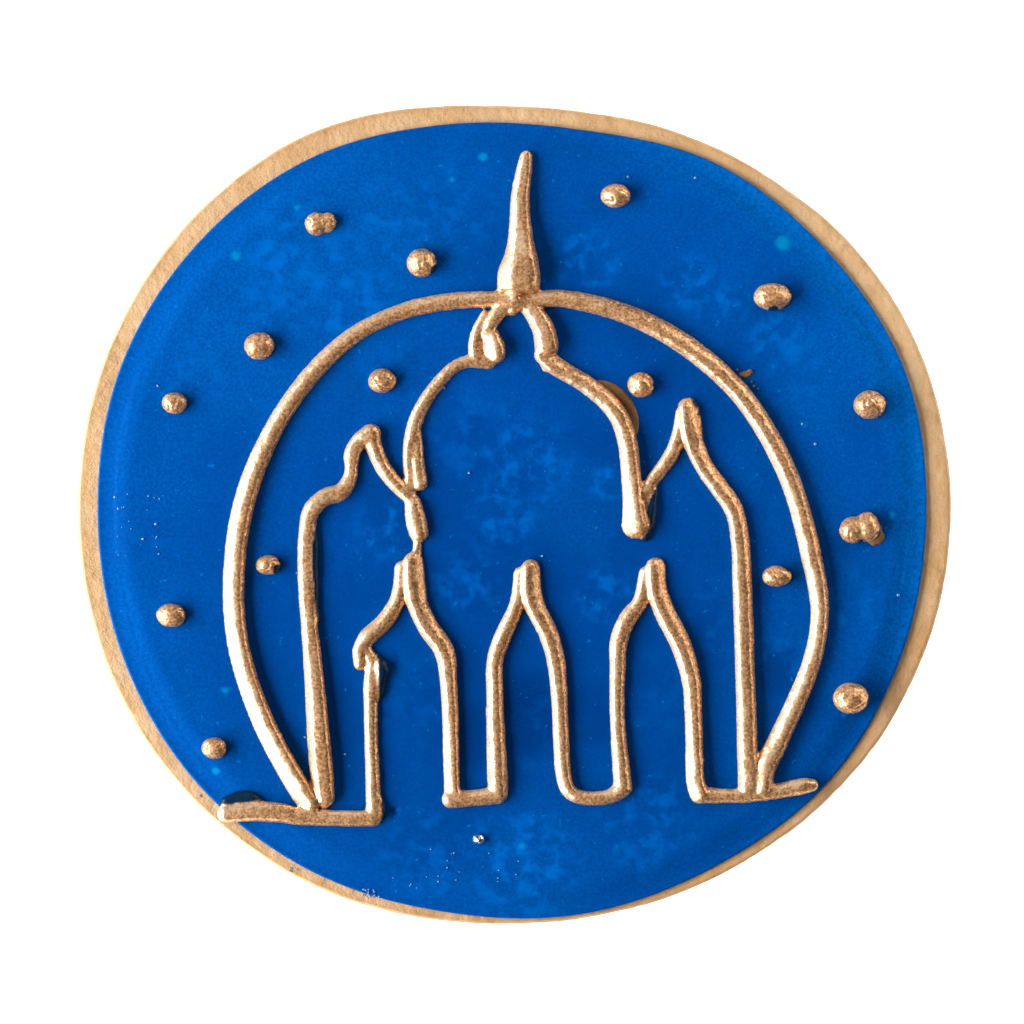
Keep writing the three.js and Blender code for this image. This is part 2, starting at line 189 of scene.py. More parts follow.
# Stars as [x, y, width, length]; two of them are pairs of dots run together.
DOTS = [
    [10.2, 31.8, 3.1, 2.5], [-19.7, 29, 2.4, 2.4], [-18.6, 29.1, 1.8, 2.1], [-9.2, 25.1, 3.1, 2.9],
    [25.9, 21.7, 4, 2.8], [-25.4, 16.8, 3.2, 2.8], [-13.1, 13.3, 3, 2.5], [12.7, 12.9, 2.8, 2.6],
    [35.6, 10.9, 3.4, 2.9], [-33.9, 11.1, 2.7, 2.2], [33.9, -1.6, 2.8, 2.7], [35.3, -1.3, 2.7, 3.1],
    [-24.5, -5.1, 2.7, 2], [26.3, -6.2, 3, 2.2], [-34.2, -10.1, 3.1, 2.4], [33.7, -18.4, 3.7, 3.2],
    [-29.9, -23.4, 2.7, 2.2],
]
SUGAR_BALL = [-3.5, -32.5, 1.3, 1.1]

# Places on the icing as [x, y, radius, strength].
MOTTLED = [
    [-22, 26, 5, 1], [-13, 28.5, 5, 0.8], [-17, 22, 5, 0.9], [-24, 21, 4, 0.7], [-6, 31, 5, 0.5],
    [-31, 15, 4, 0.4], [7.5, 25.5, 3.5, 0.9], [17.5, 23, 3, 0.9], [20.5, 21, 3, 0.8],
    [26.5, 17.5, 3.5, 0.8], [29, 13, 3, 0.4], [1, 5, 5, 0.8], [-4, 8, 5, 0.4], [-1, 0, 4, 0.7],
    [9.5, 3, 2, 0.9], [-13, -1.5, 3, 0.9], [-12, 14, 4, 0.4], [-5, -7, 3.5, 0.6], [9, -8, 3, 0.7],
    [-11, -18, 5, 0.2], [13, -18, 5, 0.2], [2, -22, 5, 0.15], [20, -10, 4, 0.4], [1, -35, 6, 0.9],
    [13, -31, 5, 0.6], [-9, -34, 5, 0.5], [33, -9, 4, 0.5], [27, -14, 3, 0.4], [-37, -2, 3, 0.3],
]
# Painted shade: the icing is darkened to a deeper blue between the lower beads and inside the doors, where
# their shadows fall.
PAINTED_SHADE = [
    [1, -22, 27, 0.25], [1.8, -20, 5, 0.85], [-4, -22, 4, 0.7], [-17, -20, 4, 0.4], [8, -20, 4, 0.6],
    [26.5, -15.5, 3, 0.6],
]
PALE_AREAS = [[-20, 22, 16, 0.22], [7, 1, 5, 0.2], [31, 14, 7, 0.15], [2, -36, 8, 0.15]]
PALE_SPOTS = [
    [26.9, 27.1, 0.75, 1], [-27.8, 25.8, 0.5, 0.8], [-21.7, 30.6, 0.3, 0.7], [-3.1, 35.7, 0.45, 0.9],
    [-6.2, 33.4, 0.3, 0.8], [37.8, -0.1, 0.3, 0.9], [23.8, 35, 0.25, 0.6], [-28.8, -17.6, 0.35, 0.8],
    [-29.8, -25.7, 0.4, 0.8], [0.8, -33.2, 0.4, 0.8], [29, 9, 0.3, 0.5], [33, -20, 0.3, 0.5],
]
WHITE_SPECKS = [
    [-4.5, 4.1], [28.8, 9], [30.1, 7], [18.1, 33.6], [11.4, 33.7], [2.8, -4.2], [-7, 12.6],
    [-20.9, -22.3], [-16.9, -24], [-21.7, -5.9], [38.4, -8.1], [-39.9, 1.7], [-39.55, 0.55],
    [-35.8, -1], [-35.6, 12.8], [-37.1, -2.5], [-31.4, -28.2],
]
# Sprays of fine white specks as [x, y, half width, half height, count].
SPRAYS = [
    [-37.8, -1, 2.4, 3.2, 16], [-4, -34.8, 4.5, 2, 16], [-10, -36.5, 3, 1.2, 5],
    [-14.2, -37.9, 0.9, 0.5, 16], [-22.1, -35.6, 0.4, 0.2, 6],
]
GOLD_FLAKES = [
    [23.1, 13.95, 0.6, 0.34], [23.6, 14.25, 0.28, 0.22], [23.2, 12.8, 0.12, 0.1], [23.75, 13.2, 0.1, 0.12],
    [24, 12.8, 0.11, 0.1], [24.4, 12.5, 0.1, 0.08], [22.3, 14.4, 0.14, 0.1], [36.05, -2.05, 0.9, 1.1],
]

# ---------------------------------------------------------------- number helpers


def noise(points, size, seed):
    """Smooth noise, about -1 to 1, at each of (n, 3) points, with features about size across."""
    rng = np.random.default_rng(seed)
    shuffle = rng.permutation(256)
    slopes = rng.normal(size=(256, 3))
    slopes /= np.linalg.norm(slopes, axis=1)[:, None]
    place = points / size
    cell = np.floor(place).astype(int)
    part = place - cell
    ease = part ** 3 * (part * (part * 6 - 15) + 10)
    total = np.zeros(len(points))
    for corner in product((0, 1), repeat=3):
        near = np.array(corner)
        x, y, z = ((cell + near) & 255).T
        pick = shuffle[(shuffle[(shuffle[x] + y) & 255] + z) & 255]
        share = np.prod(np.where(near == 1, ease, 1 - ease), axis=1)
        total += share * np.einsum("ij,ij->i", slopes[pick], part - near)
    return total * 1.6


def smoothstep(low, high, values):
    t = np.clip((values - low) / (high - low), 0, 1)
    return t * t * (3 - 2 * t)


def outline(radii, angles):
    """Radii at the given angles of a smooth closed outline through equally spaced ones."""
    radii = np.array(radii)
    place = (angles / (2 * math.pi)) % 1 * len(radii)
    before = np.floor(place).astype(int)
    t = place - before
    a, b, c, d = (radii[(before + step) % len(radii)] for step in (-1, 0, 1, 2))
    return b + 0.5 * t * (c - a + t * (2 * a - 5 * b + 4 * c - d + t * (3 * (b - c) + d - a)))


def smooth_route(line, spacing):
    """Points about spacing apart on a centripetal Catmull-Rom curve through [x, y, width]."""
    p = np.array(line, float)
    p = np.vstack([2 * p[0] - p[1], p, 2 * p[-1] - p[-2]])
    knots = np.concatenate([[0], np.cumsum(np.sqrt(np.linalg.norm(np.diff(p, axis=0), axis=1)))])

    def mixed(low, high, first, last, t):
        return first + (last - first) * ((t - knots[low]) / (knots[high] - knots[low]))[:, None]

    stretches = []
    for i in range(1, len(p) - 2):
        count = max(2, round(np.linalg.norm(p[i + 1, :2] - p[i, :2]) / spacing))
        t = np.linspace(knots[i], knots[i + 1], count, endpoint=False)
        early, middle, late = (
            mixed(k, k + 1, p[k], p[k + 1], t) for k in (i - 1, i, i + 1)
        )
        stretches.append(mixed(i, i + 1, mixed(i - 1, i + 1, early, middle, t),
                               mixed(i, i + 2, middle, late, t), t))
    return np.vstack([*stretches, p[-2]])


# ---------------------------------------------------------------- mesh helpers


def ringed(rings):
    """Points and faces of one closed surface through (rings, points, 3), shut at both ends."""
    count, size = rings.shape[:2]
    points = np.vstack([rings.reshape(-1, 3), rings[0].mean(axis=0), rings[-1].mean(axis=0)])
    here = np.arange(size)
    after = (here + 1) % size
    low = size * np.arange(count - 1)[:, None]
    quads = np.stack([low + here, low + after, low + size + after, low + size + here], axis=-1)
    last = size * (count - 1)
    first_fan = np.stack([after, here, np.full(size, size * count)], axis=1)
    last_fan = np.stack([last + here, last + after, np.full(size, size * count + 1)], axis=1)
    return points, quads.reshape(-1, 4).tolist() + first_fan.tolist() + last_fan.tolist()


def make_piece(name, points, faces):
    """A smooth mesh object of points in millimetres, riding on the object's one body."""
    mesh = bpy.data.meshes.new(name)
    mesh.from_pydata((points * MM).tolist(), [], faces)
    mesh.shade_smooth()
    piece = bpy.data.objects.new(name, mesh)
    bpy.context.scene.collection.objects.link(piece)
    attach(piece, "root")
    return piece


def read(piece, field):
    """A piece's vertex positions in millimetres ("co") or its vertex normals ("normal")."""
    flat = np.empty(len(piece.data.vertices) * 3)
    piece.data.vertices.foreach_get(field, flat)
    return flat.reshape(-1, 3) / (MM if field == "co" else 1)


def move(piece, points):
    """Puts a piece's vertices at points in millimetres."""
    piece.data.vertices.foreach_set("co", (points * MM).ravel())
    piece.data.update()


def push(piece, amounts):
    """Moves each vertex along its normal by its amount in millimetres."""
    move(piece, read(piece, "co") + read(piece, "normal") * amounts[:, None])


def hold_inside(piece):
    """Keeps a piece's vertices inside the box of the plain solids."""
    low, high = (np.array(corner) / MM for corner in CAD_BOX)
    move(piece, np.clip(read(piece, "co"), low, high))


def keep(piece, name, values):
    """Stores one value per vertex for the piece's material."""
    layer = piece.data.attributes.new(name, "FLOAT", "POINT")
    layer.data.foreach_set("value", values.astype(np.float32))


def joined(surfaces):
    """Several (points, faces) as one."""
    points, faces, offset = [], [], 0
    for surface_points, surface_faces in surfaces:
        points.append(surface_points)
        faces += [[corner + offset for corner in face] for face in surface_faces]
        offset += len(surface_points)
    return np.vstack(points), faces


def fused(surfaces, voxel, easing):
    """Melts closed surfaces into one skin with even faces, voxel millimetres across."""
    points, faces = joined(surfaces)
    mesh = bpy.data.meshes.new("melt")
    mesh.from_pydata(points.tolist(), [], faces)
    melt = bpy.data.objects.new("melt", mesh)
    bpy.context.scene.collection.objects.link(melt)
    remesh = melt.modifiers.new("fuse", "REMESH")
    remesh.mode = "VOXEL"
    remesh.voxel_size = voxel
    ease = melt.modifiers.new("ease", "SMOOTH")
    ease.factor = 0.5
    ease.iterations = easing
    skin = bpy.data.meshes.new_from_object(melt.evaluated_get(bpy.context.evaluated_depsgraph_get()))
    skin_points = np.empty(len(skin.vertices) * 3)
    skin.vertices.foreach_get("co", skin_points)
    skin_faces = [list(face.vertices) for face in skin.polygons]
    bpy.data.objects.remove(melt)
    bpy.data.meshes.remove(mesh)
    bpy.data.meshes.remove(skin)
    return skin_points.reshape(-1, 3), skin_faces


# ---------------------------------------------------------------- material helpers


def new_material(name, roughness, metallic=0.0):
    """A material, its node tree and its shader."""
    material = bpy.data.materials.new(name)
    material.use_nodes = True
    shader = material.node_tree.nodes["Principled BSDF"]
    shader.inputs["Roughness"].default_value = roughness
    shader.inputs["Metallic"].default_value = metallic
    return material, material.node_tree, shader


def add(tree, kind, inputs, **settings):
    """A shader node; an input takes a value or is linked from another node's output."""
    node = tree.nodes.new("ShaderNode" + kind)
    for name, value in settings.items():
        setattr(node, name, value)
    for key, value in inputs.items():
        if isinstance(value, bpy.types.NodeSocket):
            tree.links.new(value, node.inputs[key])
        else:
            node.inputs[key].default_value = value
    return node


def stored(tree, name):
    return add(tree, "Attribute", {}, attribute_name=name).outputs["Fac"]


def grain(tree, size, detail=2.0, roughness=0.5):
    """Noise from 0 to 1 with features about size millimetres across, fixed to the object."""
    place = add(tree, "TexCoord", {}).outputs["Object"]
    inputs = {"Vector": place, "Scale": 1 / (size * MM), "Detail": detail, "Roughness": roughness}
    return add(tree, "TexNoise", inputs).outputs["Fac"]


def between(tree, value, low, high, to_low=0.0, to_high=1.0):
    """A value taken from the range low to high to another range, and held inside it."""
    inputs = {"Value": value, "From Min": low, "From Max": high, "To Min": to_low, "To Max": to_high}
    return add(tree, "MapRange", inputs, interpolation_type="SMOOTHSTEP").outputs["Result"]


def times(tree, a, b):
    return add(tree, "Math", {0: a, 1: b}, operation="MULTIPLY").outputs[0]


def blend(tree, factor, first, second):
    """The first colour where the factor is 0 and the second where it is 1."""
    inputs = {"Factor": factor, 6: first, 7: second}
    return add(tree, "Mix", inputs, data_type="RGBA").outputs[2]


def bump(tree, shader, height, distance):
    """Small relief on the shader, distance millimetres deep, on top of any that it has."""
    inputs = {"Height": height, "Distance": distance * MM, "Strength": 1.0}
    if shader.inputs["Normal"].is_linked:
        inputs["Normal"] = shader.inputs["Normal"].links[0].from_socket
    tree.links.new(add(tree, "Bump", inputs).outputs["Normal"], shader.inputs["Normal"])


def rgb(red, green, blue):
    """A colour given as it looks on screen, 0 to 255, as linear red, green, blue and alpha."""
    return [*((channel / 255) ** 2.2 for channel in (red, green, blue)), 1]


# ---------------------------------------------------------------- materials


def make_crumb():
    """Pale baked dough, browner where the stored bake and painted shade is high, with a fine open grain."""
    material, tree, shader = new_material("baked_crumb", roughness=0.85)
    shader.inputs["Specular IOR Level"].default_value = 0.25
    patches = blend(tree, between(tree, grain(tree, 3.5, 3), 0.35, 0.65),
                    rgb(215, 171, 122), rgb(223, 184, 140))
    # Browner where baked, and on the left edge as painted shade.
    baked = blend(tree, stored(tree, "bake_and_shade"), patches, rgb(178, 120, 62))
    dark_grain = between(tree, grain(tree, 0.35, 2), 0.6, 0.75, 0, 0.35)
    pale_grain = between(tree, grain(tree, 0.5, 2), 0.62, 0.78, 0, 0.4)
    speckled = blend(tree, dark_grain, baked, rgb(172, 120, 68))
    tree.links.new(blend(tree, pale_grain, speckled, rgb(224, 194, 150)), shader.inputs["Base Color"])
    bump(tree, shader, grain(tree, 0.8, 3), 0.12)
    bump(tree, shader, grain(tree, 0.22, 2), 0.05)
    return material


def flood_colour(tree):
    """Blue with feathery paler mottles, pale spots and a fine paler dust, paler at the lee edge partly as
    painted light, and darker among the lower beads as painted shade.
    """
    clouds = between(tree, grain(tree, 1.3, 2, 0.45), 0.42, 0.72)
    mottle = times(tree, clouds, stored(tree, "mottle"))
    drift = between(tree, grain(tree, 9, 3), 0.35, 0.65)
    even = blend(tree, drift, rgb(0, 71, 152), rgb(0, 79, 164))
    pale = blend(tree, stored(tree, "pale"), even, rgb(0, 112, 205))
    # Painted shade: deeper blue where the "deep" weight is high, among the lower beads.
    base = blend(tree, stored(tree, "deep"), pale, rgb(0, 50, 114))
    grained = blend(tree, between(tree, grain(tree, 0.3, 2), 0.35, 0.65, 0, 0.5), base, rgb(0, 63, 138))
    mottled = blend(tree, mottle, grained, rgb(0, 102, 195))
    spotted = blend(tree, stored(tree, "spot"), mottled, rgb(0, 140, 204))
    dust = between(tree, grain(tree, 0.5, 1), 0.73, 0.79, 0, 0.8)
    return blend(tree, dust, spotted, rgb(0, 116, 200))


def make_flood():
    """Dried icing with a satin skin, whose sheen is blue as well."""
    material, tree, shader = new_material("blue_icing", roughness=0.4)
    shader.inputs["Specular IOR Level"].default_value = 0.35
    shader.inputs["Specular Tint"].default_value = (0, 0.45, 1, 1)
    tree.links.new(flood_colour(tree), shader.inputs["Base Color"])
    bump(tree, shader, grain(tree, 1.2, 4), 0.03)
    bump(tree, shader, grain(tree, 0.2, 2), 0.008)
    return material


def make_gold():
    """Metallic paint on the piped icing, which stays blue where the stored paint is 0.

    It is brown, and paler on the slopes that face the left and back lamps: a painted highlight.
    """
    material, tree, shader = new_material("copper_gold_paint", roughness=0.35)
    shader.inputs["Specular IOR Level"].default_value = 0.12
    shader.inputs["Coat Weight"].default_value = 0.1
    shader.inputs["Coat Roughness"].default_value = 0.25
    paint = stored(tree, "paint")
    fine = between(tree, grain(tree, 0.25, 3), 0.35, 0.65)
    paint_tone = blend(tree, fine, [0.52, 0.23, 0.08, 1], [1.0, 0.56, 0.28, 1])
    # Painted highlight: the paler tone that the slopes facing the lamps get.
    painted_highlight = blend(tree, fine, [0.88, 0.55, 0.31, 1], [1.0, 0.72, 0.47, 1])
    tone = blend(tree, stored(tree, "painted_highlight"), paint_tone, painted_highlight)
    tree.links.new(blend(tree, paint, rgb(16, 46, 72), tone), shader.inputs["Base Color"])
    tree.links.new(times(tree, paint, 0.55), shader.inputs["Metallic"])
    uneven = between(tree, grain(tree, 0.5, 2), 0.3, 0.7, 0.24, 0.38)
    tree.links.new(uneven, shader.inputs["Roughness"])
    bump(tree, shader, grain(tree, 0.9, 2), 0.05)
    bump(tree, shader, grain(tree, 0.3, 2), 0.04)
    return material


def make_smear():
    """The same paint brushed thin and dull on the icing."""
    material, tree, shader = new_material("thin_paint", roughness=0.65, metallic=0.2)
    tone = blend(tree, between(tree, grain(tree, 0.5, 3), 0.35, 0.65),
                 rgb(134, 92, 54), rgb(150, 108, 68))
    tree.links.new(tone, shader.inputs["Base Color"])
    bump(tree, shader, grain(tree, 0.25, 3), 0.03)
    return material


def make_silver():
    """The dull silver skin of a sugar ball."""
    material, tree, shader = new_material("silvered_sugar", roughness=0.25, metallic=1.0)
    tone = blend(tree, between(tree, grain(tree, 0.3, 2), 0.4, 0.6), rgb(215, 215, 222), rgb(250, 250, 252))
    tree.links.new(tone, shader.inputs["Base Color"])
    bump(tree, shader, grain(tree, 0.35, 2), 0.08)
    return material


def make_dust():
    """White sugar specks."""
    material, tree, shader = new_material("sugar_dust", roughness=0.6)
    tone = blend(tree, grain(tree, 0.6, 2), rgb(96, 142, 200), rgb(150, 180, 215))
    tree.links.new(tone, shader.inputs["Base Color"])
    return material


def make_paper():
    """The pale floor, faintly uneven and a little lit from below, as a light table is."""
    material, tree, shader = new_material("pale_floor", roughness=0.9)
    shader.inputs["Specular IOR Level"].default_value = 0.1
    tone = blend(tree, grain(tree, 40, 2), rgb(250, 250, 250), rgb(253, 253, 252))
    tree.links.new(tone, shader.inputs["Base Color"])
    shader.inputs["Emission Color"].default_value = (1, 1, 1, 1)
    shader.inputs["Emission Strength"].default_value = 0.9
    return material


CRUMB = make_crumb()
FLOOD = make_flood()
GOLD = make_gold()
SMEAR = make_smear()
SILVER = make_silver()
DUST = make_dust()

# ---------------------------------------------------------------- cookie

AROUND = np.linspace(0, 2 * math.pi, 720, endpoint=False)
COOKIE_EDGE = outline(COOKIE_RADII, AROUND)
FLOOD_EDGE = outline(ICING_RADII, AROUND)


def placed(radii, heights):
    """Rings of points at the given radii and heights, both (rings, around)."""
    return np.stack([radii * np.cos(AROUND), radii * np.sin(AROUND), heights], axis=-1)


def quarter(width, height, steps):
    """Insets and heights of a rounded edge, from its outermost point to its top."""
    t = np.linspace(0, math.pi / 2, steps)
    return width * (1 - np.cos(t) ** (2 / EDGE_POWER)), height * np.sin(t) ** (2 / EDGE_POWER)


def cookie_rings():
    """Rings of the baked round, from the middle of its underside to the middle of its top."""
    rim = np.minimum(1, (COOKIE_EDGE - FLOOD_EDGE) / TOP_ROUNDING)
    low_insets, low_heights = quarter(*BOTTOM_ROUNDING, 12)
    high_insets, high_heights = quarter(TOP_ROUNDING, COOKIE_TOP - BOTTOM_ROUNDING[1], 22)
    rings = []
    for share in np.linspace(0.02, 0.985, 38):
        rings.append((share * (COOKIE_EDGE - BOTTOM_ROUNDING[0]), 0))
    for inset, height in zip(low_insets[::-1], low_heights):
        rings.append((COOKIE_EDGE - inset, height))
    for inset, height in zip(high_insets[1:], high_heights[1:]):
        rings.append((COOKIE_EDGE - inset * rim, BOTTOM_ROUNDING[1] + height))
    for inset in (0.4, 0.8, 1.2, 2.0, 20.0):
        rings.append((COOKIE_EDGE - TOP_ROUNDING * rim - inset, COOKIE_TOP))
    radii = np.array([ring for ring, _ in rings])
    heights = np.array([np.full(len(AROUND), height) for _, height in rings])
    return placed(radii, heights)


def bake_and_shade_at(points):
    """How brown each point is: baked most underneath, then at the lower right and the top, with painted
    shade on the left edge, which faces the main lamp.
    """
    radius = np.hypot(points[:, 0], points[:, 1])
    inside = outline(COOKIE_RADII, np.arctan2(points[:, 1], points[:, 0])) - radius
    side = smoothstep(0.85, 0.2, inside)
    under = smoothstep(0.8, 0.0, points[:, 2])
    right, ahead = (points[:, :2] / radius[:, None]).T
    # Painted shade: the left edge, which faces the main lamp, is browned to take down the light there.
    left_edge_shade = smoothstep(0.3, -0.6, right)
    lower_right = smoothstep(0.2, 0.9, (right - ahead) / math.sqrt(2))
    bake_and_shade = (0.1 + 0.25 * left_edge_shade) * side + 0.55 * under + 0.3 * lower_right
    bake_and_shade += 0.15 * smoothstep(0.4, 0.9, ahead) + 0.15 * noise(points, 4, 5)
    return np.clip(bake_and_shade, 0, 1)


def make_cookie():
    """The baked round: flat underneath, with rounded edges and an uneven, open surface."""
    piece = make_piece("baked_cookie", *ringed(cookie_rings()))
    points = read(piece, "co")
    waves = 0.10 * noise(points, 6, 1) + 0.05 * noise(points, 1.6, 2)
    pits = -0.10 * smoothstep(0.35, 0.8, noise(points, 0.9, 3))
    crumb = 0.035 * noise(points, 0.5, 4)
    push(piece, np.minimum(waves + pits + crumb, 0.04) - 0.05)
    settled = read(piece, "co")
    settled[:, 2] = np.clip(settled[:, 2], 0, COOKIE_TOP)
    move(piece, settled)
    # Bake and painted shade per point.
    keep(piece, "bake_and_shade", bake_and_shade_at(points))
    piece.data.materials.append(CRUMB)
    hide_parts("cookie")


# ---------------------------------------------------------------- flooded icing

EVEN_RINGS = 6                      # from this inset on the rings shrink towards the centre
SHRINKING_RINGS = 80
RIPPLE_STEP = 1.0                   # distance between the faint drying ripples along the edge
DENTS = [[-12, -29.8, 0.45, 1]]
DENT_DEPTH = 0.35


def weight_at(points, places):
    """How strongly each point lies in soft round places of [x, y, radius, strength]."""
    total = np.zeros(len(points))
    for x, y, radius, strength in places:
        distance = np.hypot(points[:, 0] - x, points[:, 1] - y)
        total = np.maximum(total, strength * smoothstep(1.3 * radius, 0.5 * radius, distance))
    return total


def flood_inset(points):
    """How far inside the flood's outline each point lies."""
    return outline(ICING_RADII, np.arctan2(points[:, 1], points[:, 0])) - np.hypot(*points[:, :2].T)


def flood_rise(inset):
    """The flood's height over the cookie, inside its round edge."""
    return ICING_EDGE[1] + (ICING_THICKNESS - ICING_EDGE[1]) * smoothstep(ICING_EDGE[0], SLOPE_END, inset)


def make_flood_coat():
    """The flooded coat: a steep low edge, a gentle slope inside it and a smooth, nearly level top."""
    insets, heights = quarter(*ICING_EDGE, 14)
    rings = [(np.full(len(AROUND), 0.3), -0.1), (np.full(len(AROUND), 0.04), -0.02)]
    rings += [(np.full(len(AROUND), inset), height) for inset, height in zip(insets, heights)]
    slope = np.arange(ICING_EDGE[0] + 0.15, EVEN_RINGS, 0.15)
    rings += [(np.full(len(AROUND), inset), rise) for inset, rise in zip(slope, flood_rise(slope))]
    shares = np.linspace(1, 0.01, SHRINKING_RINGS)
    rings += [(FLOOD_EDGE - share * (FLOOD_EDGE - EVEN_RINGS), ICING_THICKNESS) for share in shares]
    inset_rings = np.array([ring for ring, _ in rings])
    levels = np.array([np.full(len(AROUND), COOKIE_TOP + level) for _, level in rings])
    piece = make_piece("icing_coat", *ringed(placed(FLOOD_EDGE - inset_rings, levels)))

    points = read(piece, "co")
    keep(piece, "mottle", weight_at(points, MOTTLED))
    keep(piece, "spot", weight_at(points, PALE_SPOTS))
    # Painted shade among the lower beads, stored as "deep".
    keep(piece, "deep", weight_at(points, PAINTED_SHADE))
    radius = np.hypot(points[:, 0], points[:, 1])
    inset = flood_inset(points)
    lee_side = (LEE[0] * points[:, 0] + LEE[1] * points[:, 1]) / radius.max()
    # Paler on the lee side's edge: partly thinner icing, partly painted light on the slope that turns away
    # from the main lamp.
    thin_edge_and_painted_light = 0.8 * smoothstep(4.5, 1, inset) * smoothstep(0.5, 0.95, lee_side)
    pale = 0.28 * smoothstep(16, 46, radius) + thin_edge_and_painted_light + weight_at(points, PALE_AREAS)
    keep(piece, "pale", np.clip(pale, 0, 1))
    top = smoothstep(0.3, 0.9, inset) * (points[:, 2] > COOKIE_TOP + 0.5)
    ripples = np.sin(2 * math.pi * (inset + 1.2 * noise(points, 14, 13)) / RIPPLE_STEP)
    near_edge = smoothstep(6, 1.5, inset) * smoothstep(-0.3, 0.5, noise(points, 11, 14))
    push(piece, top * (0.05 * noise(points, 9, 11) + 0.012 * noise(points, 1.8, 12)
                       + 0.010 * near_edge * ripples - DENT_DEPTH * weight_at(points, DENTS)))
    piece.data.materials.append(FLOOD)
    return piece


# ---------------------------------------------------------------- piping

TUBE_SIDES = 36
TUBE_STEP = 0.3
ROUTE_STEP = 0.12                   # between the places that points are matched to
DOT_HIGHLIGHT_SHARE = 0.25                  # the dots get this share of the lines' painted highlight


def bead_height(level, width):
    """Height of a bead's skin, level being -1 at its underside and 1 at its top."""
    rise = np.minimum(RISE_PER_WIDTH * width, MAX_RISE)
    return ICING_TOP + level * np.where(level > 0, rise, SUNK)


def section_level(turn, section, lee):
    """Levels round a bead's section; lee is how far its positive side faces LEE, from -1 to 1."""
    ridge, level_before, foot_before, level_after, foot_after = section
    ridge *= lee
    place = np.cos(turn)
    past = place > ridge
    reach = np.where(past, (place - ridge) / (1 - ridge), (ridge - place) / (1 + ridge))
    share = np.where(past, 1 + lee, 1 - lee) / 2
    top = level_before + (level_after - level_before) * share
    foot = foot_before + (foot_after - foot_before) * share
    return np.where(np.sin(turn) > 0, np.clip(1 - reach ** top, 0, 1) ** foot, np.sin(turn))


def tube(line, sections=(ROUND, ROUND), foot=1.0):
    """A closed bead of icing along a line, with round ends; foot scales how far the last one bulges."""
    start, end = np.array(sections, float)
    route = smooth_route(line, TUBE_STEP)
    ahead = np.gradient(route[:, :2], axis=0)
    ahead /= np.linalg.norm(ahead, axis=1)[:, None]
    turn = -np.linspace(0, 2 * math.pi, TUBE_SIDES, endpoint=False)
    cap = np.radians([82, 60, 38, 18])
    stations = [(0, -math.sin(angle), math.cos(angle)) for angle in cap]
    stations += [(i, 0, 1) for i in range(len(route))]
    stations += [(-1, foot * math.sin(angle), math.cos(angle)) for angle in cap[::-1]]
    rings = []
    for i, past, girth in stations:
        x, y, width = route[i]
        ax, ay = ahead[i]
        aside = np.cos(turn) * girth * width / 2
        past_end = past * width / 2
        section = start + (end - start) * (i % len(route)) / len(route)
        level = section_level(turn, section, LEE[0] * ay - LEE[1] * ax)
        height = bead_height(level * girth, width)
        ring = [x + past_end * ax + aside * ay, y + past_end * ay - aside * ax, height]
        rings.append(np.stack(ring, axis=1))
    return ringed(np.array(rings))


def ball(x, y, width, length):
    """A closed rounded dot."""
    turn = np.linspace(0, 2 * math.pi, 24, endpoint=False)
    rings = []
    for slope in np.radians(np.linspace(-85, 85, 15)):
        girth = math.cos(slope) / 2
        level = np.full(len(turn), math.sin(slope))
        height = bead_height(level, (width + length) / 2)
        ring = [x + girth * width * np.cos(turn), y + girth * length * np.sin(turn), height]
        rings.append(np.stack(ring, axis=1))
    return ringed(np.array(rings))


def coverage(points, lift, lean, lee_miss, seed):
    """Paint per point, from 0 to 1: the brush missed the beads' feet, up to lee_miss on the +X side."""
    ragged = 0.08 * noise(points, 1.3, seed) + 0.06 * noise(points, 0.35, seed + 1)
    missed = 0.02 + lee_miss * np.clip(lean, 0, 1)
    return smoothstep(-0.05, 0.07, lift - missed - ragged)


def away_from(points, spots):
    """1 outside soft round spots of [x, y, radius], and 0 inside them."""
    share = np.ones(len(points))
    for x, y, radius in spots:
        distance = np.hypot(points[:, 0] - x, points[:, 1] - y) + 0.15 * noise(points, 0.4, 34)
        share = np.minimum(share, smoothstep(0.85 * radius, 1.1 * radius, distance))
    return share


def painted_highlight_on_slopes(piece):
    """Painted highlight per point: 0 on tops and right slopes, 1 on left and upper left ones, which face
    the lamps.
    """
    normals = read(piece, "normal")
    tilt = 0.3 * normals[:, 1] - normals[:, 0]
    points = read(piece, "co")
    streaks = 0.16 * noise(points, 0.5, 35) + 0.22 * noise(points, 2.6, 36)
    return smoothstep(-0.05, 0.4, tilt + streaks)


def nearest_on_routes(points):
    """Each point's nearest place on a line as [x, y, width], how far along that is, and which line."""
    routes = [smooth_route(line, ROUTE_STEP) for line in LINES.values()]
    steps = [np.linalg.norm(np.diff(route[:, :2], axis=0), axis=1) for route in routes]
    along = np.concatenate([np.concatenate([[0], np.cumsum(step)]) for step in steps])
    owner = np.concatenate([np.full(len(route), i) for i, route in enumerate(routes)])
    centres = np.vstack(routes)
    # A wide line reaches further than a thin one, so thin ones are put further below the points.
    depths = np.sqrt(centres[:, 2].max() ** 2 - centres[:, 2] ** 2) / 2
    tree = KDTree(len(centres))
    for i, (x, y, _) in enumerate(centres):
        tree.insert((x, y, depths[i]), i)
    tree.balance()
    nearest = np.array([tree.find((x, y, 0))[1] for x, y, _ in points])
    return centres[nearest], along[nearest], owner[nearest]


